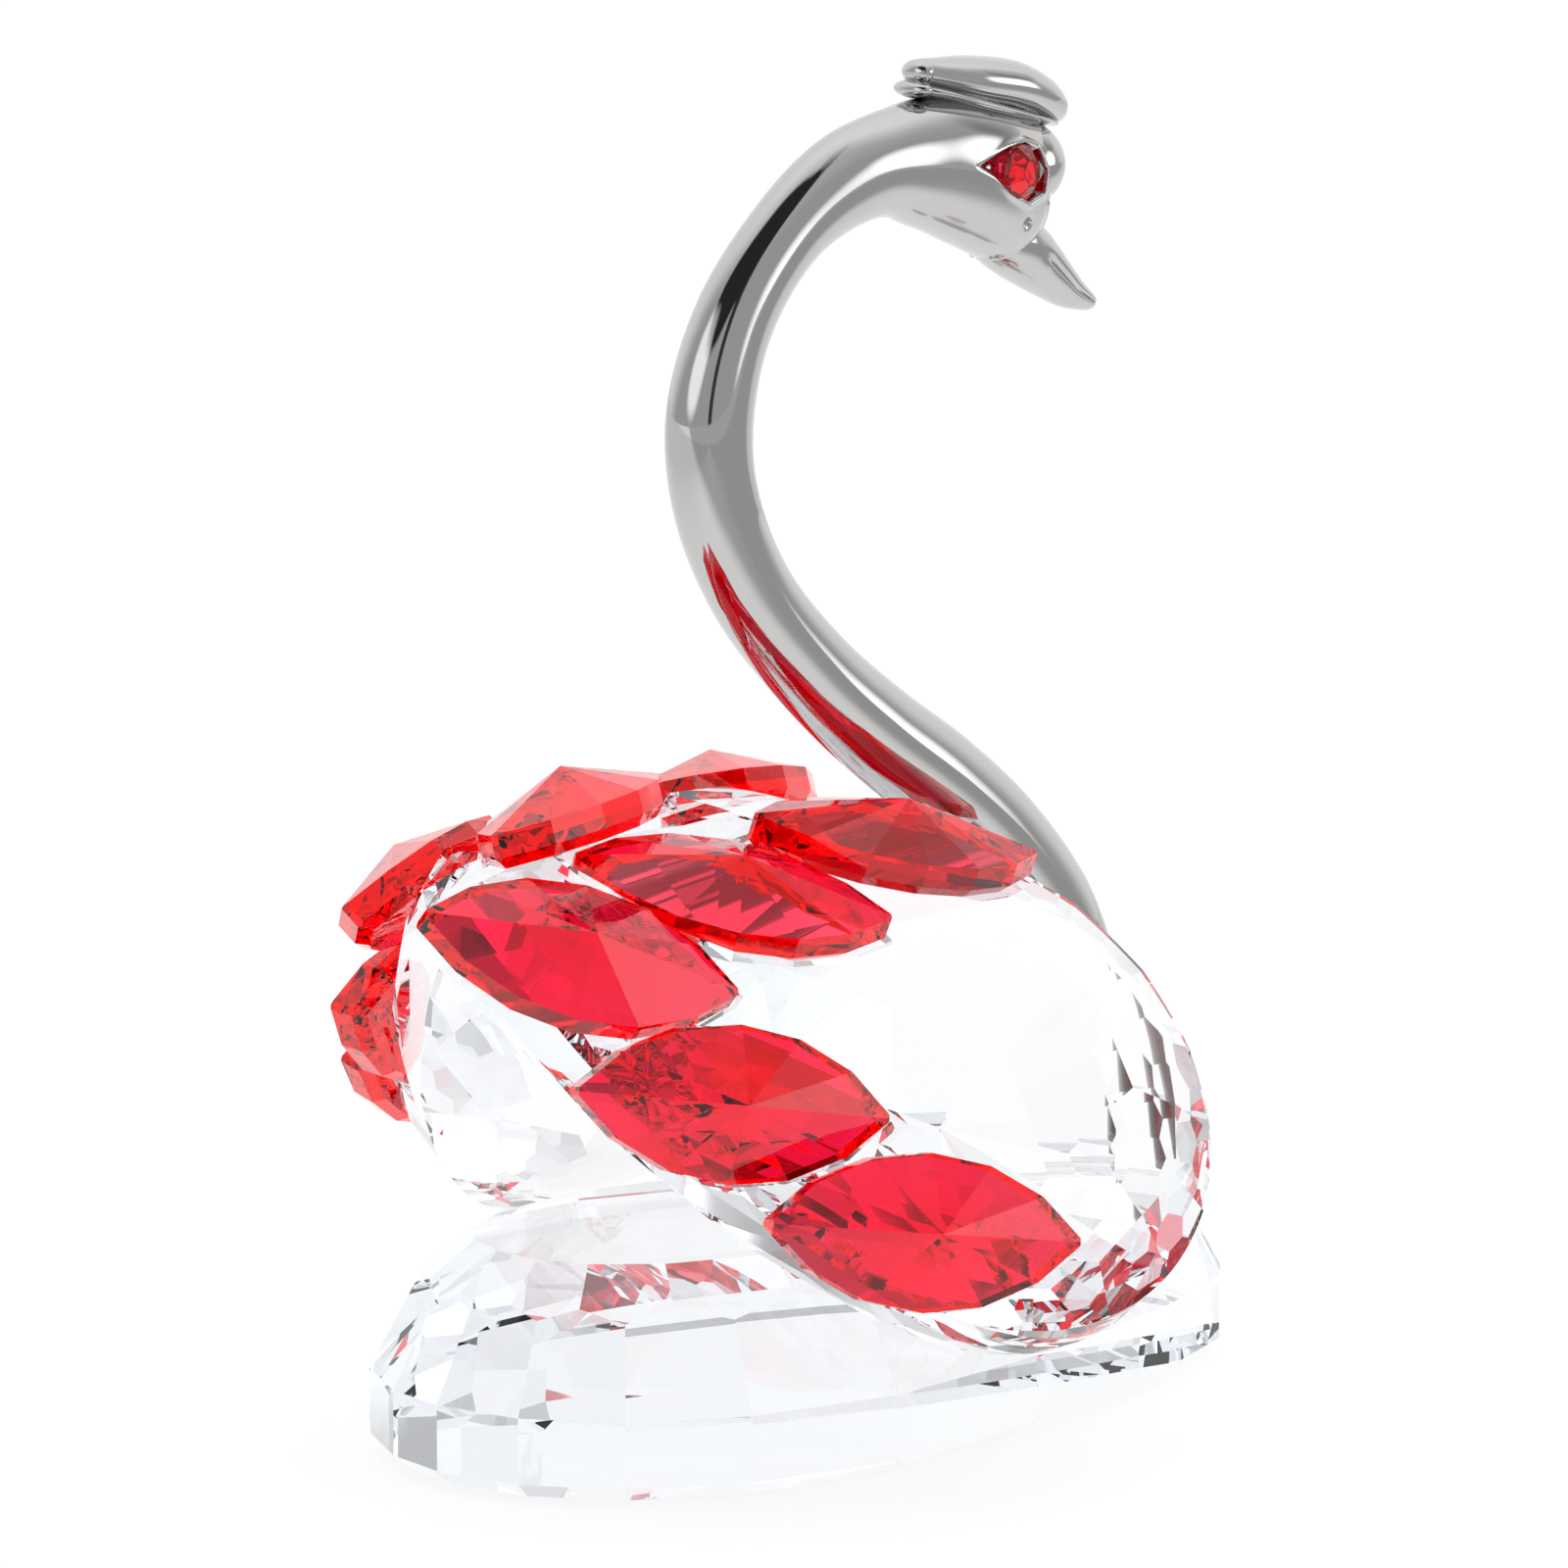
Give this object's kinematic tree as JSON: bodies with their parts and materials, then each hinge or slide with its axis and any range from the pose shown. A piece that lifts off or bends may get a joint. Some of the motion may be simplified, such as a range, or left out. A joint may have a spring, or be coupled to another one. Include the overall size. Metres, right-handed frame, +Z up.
{
  "type": "swan figurine",
  "caption": "Cut-glass swan: arched plated neck with crest and beak, clear faceted wings set with red marquise stones like feathers, on a clear faceted base.",
  "frame": {"origin": "middle of the base's flat bottom, where the figurine rests", "axes": "+Z is up, +X is the way the swan's breast and beak face, and -Y is its right-hand side"},
  "size_m": [0.0832, 0.0642, 0.1072],
  "materials": {
    "clear_crystal": "polished",
    "bright_plating": "polished",
    "feather_red": "polished",
    "eye_red": "polished"
  },
  "bodies": {
    "root": {"base_crystal": "clear_crystal", "wing_crystal_right": "clear_crystal", "wing_crystal_left": "clear_crystal", "neck_casting": "bright_plating", "eye_stone_right": "eye_red", "eye_stone_left": "eye_red", "feather_stone_right_1": "feather_red", "feather_stone_right_2": "feather_red", "feather_stone_right_3": "feather_red", "feather_stone_right_4": "feather_red", "feather_stone_right_5": "feather_red", "feather_stone_left_1": "feather_red", "feather_stone_left_2": "feather_red", "feather_stone_left_3": "feather_red", "feather_stone_left_4": "feather_red", "feather_stone_left_5": "feather_red"}
  },
  "joints": []
}
